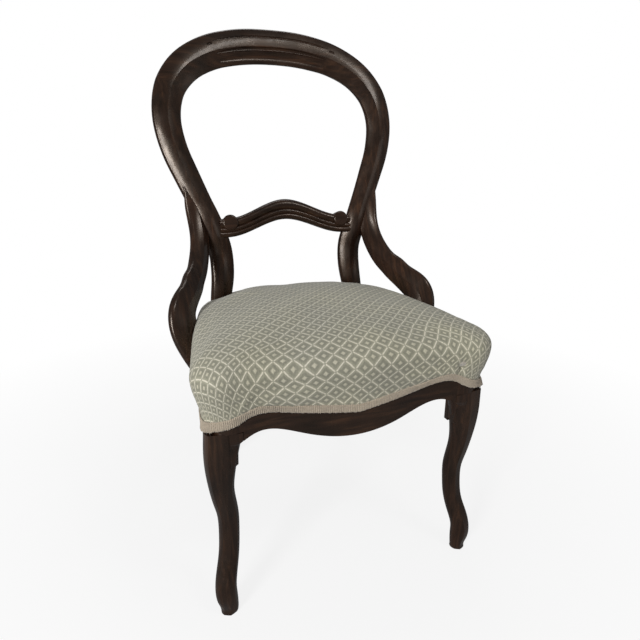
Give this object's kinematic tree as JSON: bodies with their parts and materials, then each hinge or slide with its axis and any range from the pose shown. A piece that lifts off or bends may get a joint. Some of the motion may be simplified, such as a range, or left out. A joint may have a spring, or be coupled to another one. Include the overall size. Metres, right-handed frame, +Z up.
{
  "type": "balloon back dining chair",
  "caption": "Wooden dining chair with a round open balloon back, arched cross rail, hip brackets, cabriole front legs and a stuffed-over seat edged with braid.",
  "frame": {"origin": "on the floor, under the middle of the whole chair's bounding box", "axes": "+Z up from the floor, the chair's front faces -Y, +X to the right of someone facing it"},
  "size_m": [0.4904, 0.4988, 0.891],
  "materials": {
    "polished_wood": "satin polish",
    "frame_wood": "sawn, unpolished",
    "dowel_wood": "plain",
    "screw_steel": "dull",
    "webbing": "woven jute",
    "hessian": "coarse woven",
    "stuffing": "hair and wadding",
    "cover_fabric": "woven lattice",
    "gimp_braid": "ribbed braid",
    "dust_cloth": "plain woven"
  },
  "bodies": {
    "root": {"crest_rail": "polished_wood", "back_post_left": "polished_wood", "back_post_right": "polished_wood", "cross_rail": "polished_wood", "hip_bracket_left": "polished_wood", "hip_bracket_right": "polished_wood", "front_leg_left": "polished_wood", "front_leg_right": "polished_wood", "front_rail": "polished_wood", "side_rail_left": "frame_wood", "side_rail_right": "frame_wood", "rear_rail": "frame_wood", "corner_block_front_left": "frame_wood", "corner_block_front_right": "frame_wood", "corner_block_rear_left": "frame_wood", "corner_block_rear_right": "frame_wood", "crest_dowels": "dowel_wood", "cross_rail_dowels": "dowel_wood", "bracket_dowels": "dowel_wood", "front_rail_dowels": "dowel_wood", "side_rail_dowels": "dowel_wood", "rear_rail_dowels": "dowel_wood", "corner_screws": "screw_steel", "bracket_screws": "screw_steel", "webbing_lengthwise": "webbing", "webbing_crosswise": "webbing", "hessian": "hessian", "stuffing": "stuffing", "seat_cover": "cover_fabric", "gimp": "gimp_braid", "dust_cover": "dust_cloth"}
  },
  "joints": []
}
